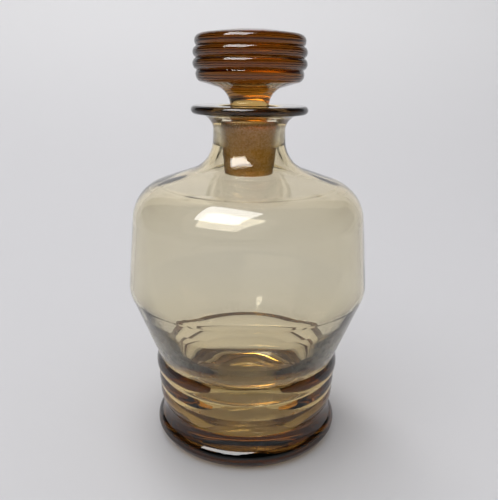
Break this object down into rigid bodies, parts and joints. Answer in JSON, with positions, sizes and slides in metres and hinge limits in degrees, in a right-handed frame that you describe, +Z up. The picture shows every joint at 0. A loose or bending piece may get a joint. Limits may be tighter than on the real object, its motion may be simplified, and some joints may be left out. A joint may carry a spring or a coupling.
{
  "type": "carafe",
  "caption": "Stoppered carafe of smoky amber glass: round shouldered bottle on a ribbed base with a foot ring, and a ribbed drum stopper with a ground plug.",
  "frame": {"origin": "middle of the resting plane, under the bottle's axis", "axes": "+Z up along the common axis of bottle and stopper"},
  "size_m": [0.12, 0.12, 0.2034],
  "materials": {
    "bottle_glass": "clear smoky amber blown glass, darker where it is thick",
    "stopper_glass": "solid smoky amber glass, dark brown in depth, with a ground matt plug"
  },
  "bodies": {
    "root": {"bottle": "bottle_glass", "stopper": "stopper_glass"}
  },
  "joints": []
}
